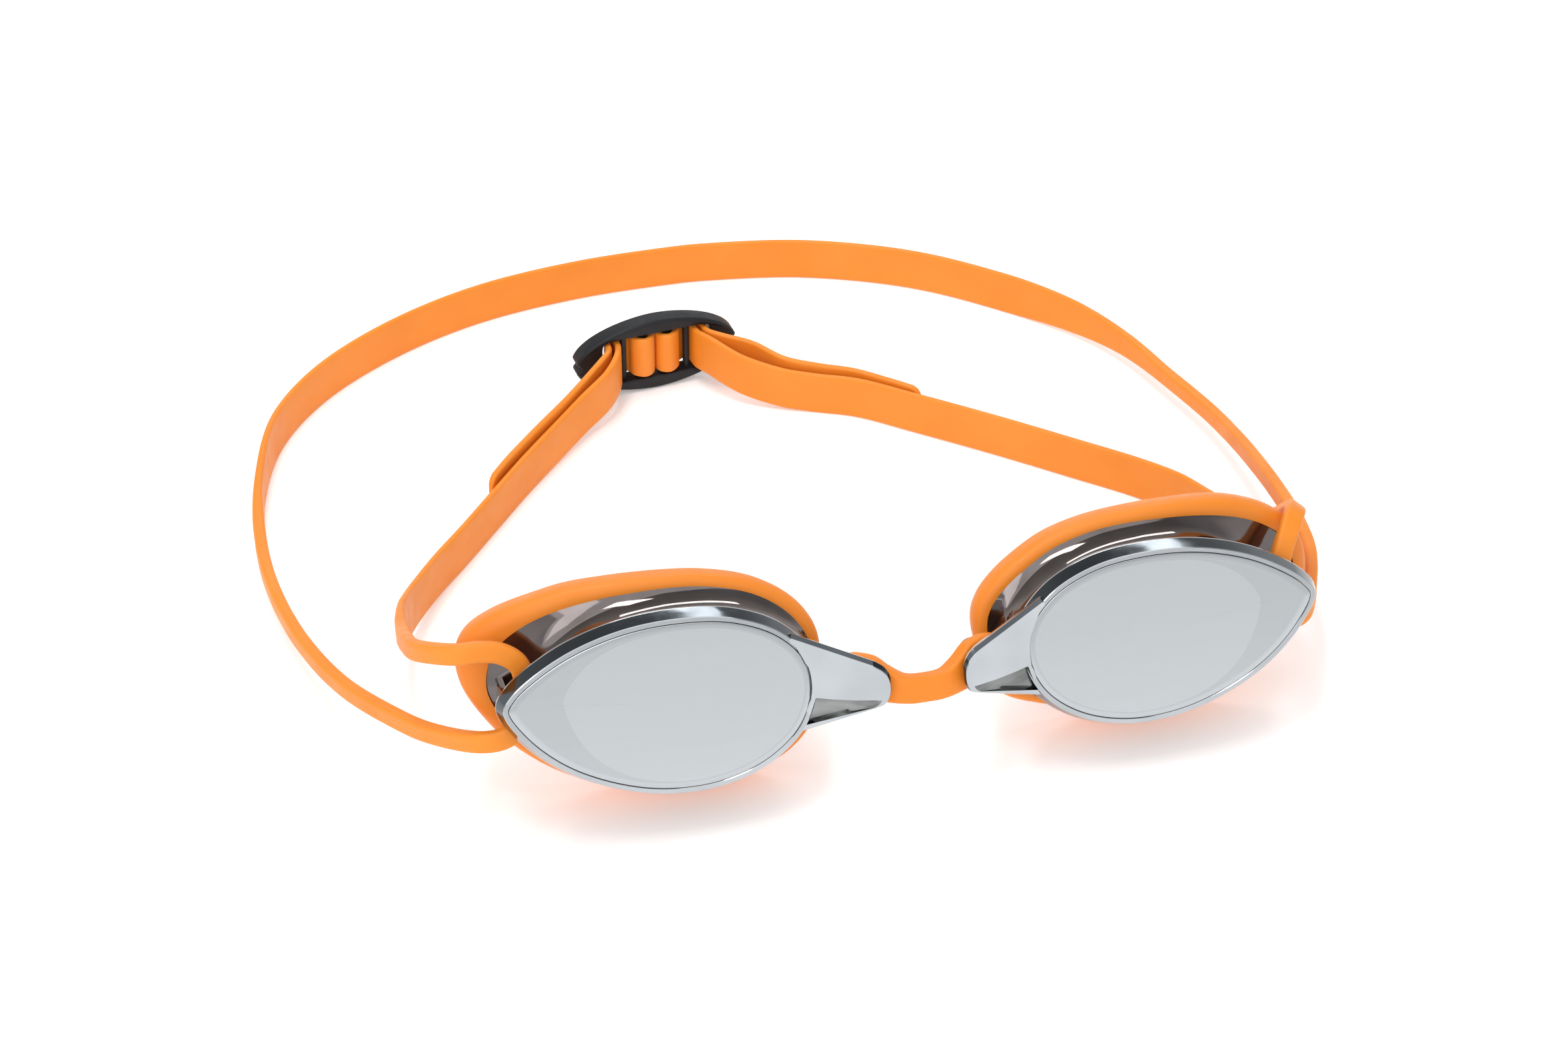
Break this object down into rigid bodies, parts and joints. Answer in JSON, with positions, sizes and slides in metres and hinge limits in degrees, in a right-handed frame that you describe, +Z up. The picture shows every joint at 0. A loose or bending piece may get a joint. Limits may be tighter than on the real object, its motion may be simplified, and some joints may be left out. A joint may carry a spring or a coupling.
{
  "type": "swim goggles",
  "caption": "Low-profile swim goggles with mirrored almond lenses, soft orange gaskets and nose bridge, and a wide strap with an oval adjuster, lying on a table.",
  "frame": {"origin": "middle of the goggles' box, on the table they lie on", "axes": "+X towards the viewer's right along the pair of lenses, +Y from the lenses towards the back of the strap, +Z up from the table"},
  "size_m": [0.2168, 0.1926, 0.0445],
  "materials": {
    "strap": "satin orange silicone",
    "gasket": "satin orange silicone",
    "bridge": "satin orange silicone",
    "cup": "polished plastic with a dark mirror coating",
    "lens": "polished plastic with a silver mirror coating",
    "buckle": "fine matte black"
  },
  "bodies": {
    "strap": {"strap_left_run": "strap", "strap_rear_band": "strap", "strap_right_run": "strap"},
    "left_neck": {"strap_left_neck": "strap"},
    "right_neck": {"strap_right_neck": "strap"},
    "left_cup": {"left_eye_cup": "cup", "left_lens": "lens", "left_gasket": "gasket"},
    "right_cup": {"right_eye_cup": "cup", "right_lens": "lens", "right_gasket": "gasket"},
    "bridge": {"nose_bridge": "bridge"},
    "buckle": {"strap_buckle": "buckle"}
  },
  "joints": [
    {"name": "left_neck_pitch", "type": "hinge", "parent": "strap", "child": "left_neck", "pos_m": [-0.0668, -0.08171, 0.02768], "axis": [1, 0, 0], "range_deg": [-3.5, 3.5], "stiffness_Nm_per_rad": 0.15},
    {"name": "right_neck_pitch", "type": "hinge", "parent": "strap", "child": "right_neck", "pos_m": [0.0898, -0.08171, 0.02768], "axis": [1, 0, 0], "range_deg": [-3.5, 3.5], "stiffness_Nm_per_rad": 0.15},
    {"name": "left_cup_fold", "type": "hinge", "parent": "left_neck", "child": "left_cup", "pos_m": [-0.0668, -0.08171, 0.02768], "axis": [0, 0.342, 0.9397], "range_deg": [-3.5, 3.5], "stiffness_Nm_per_rad": 0.05},
    {"name": "right_cup_fold", "type": "hinge", "parent": "right_neck", "child": "right_cup", "pos_m": [0.0898, -0.08171, 0.02768], "axis": [0, 0.342, 0.9397], "range_deg": [-3.5, 3.5], "stiffness_Nm_per_rad": 0.05},
    {"name": "bridge_flex", "type": "hinge", "parent": "left_cup", "child": "bridge", "pos_m": [-0.0001, -0.08829, 0.02773], "axis": [0, 0.342, 0.9397], "range_deg": [-3.5, 3.5], "stiffness_Nm_per_rad": 0.05},
    {"name": "buckle_rock", "type": "hinge", "parent": "strap", "child": "buckle", "pos_m": [-0.0119, 0.0545, 0.0094], "axis": [0, 0, 1], "range_deg": [-1.5, 1.5], "stiffness_Nm_per_rad": 0.05}
  ],
  "couplings": [
    {"joint": "right_neck_pitch", "follows": "left_neck_pitch", "ratio": 1},
    {"joint": "right_cup_fold", "follows": "left_cup_fold", "ratio": -1},
    {"joint": "bridge_flex", "follows": "left_cup_fold", "ratio": -1}
  ]
}
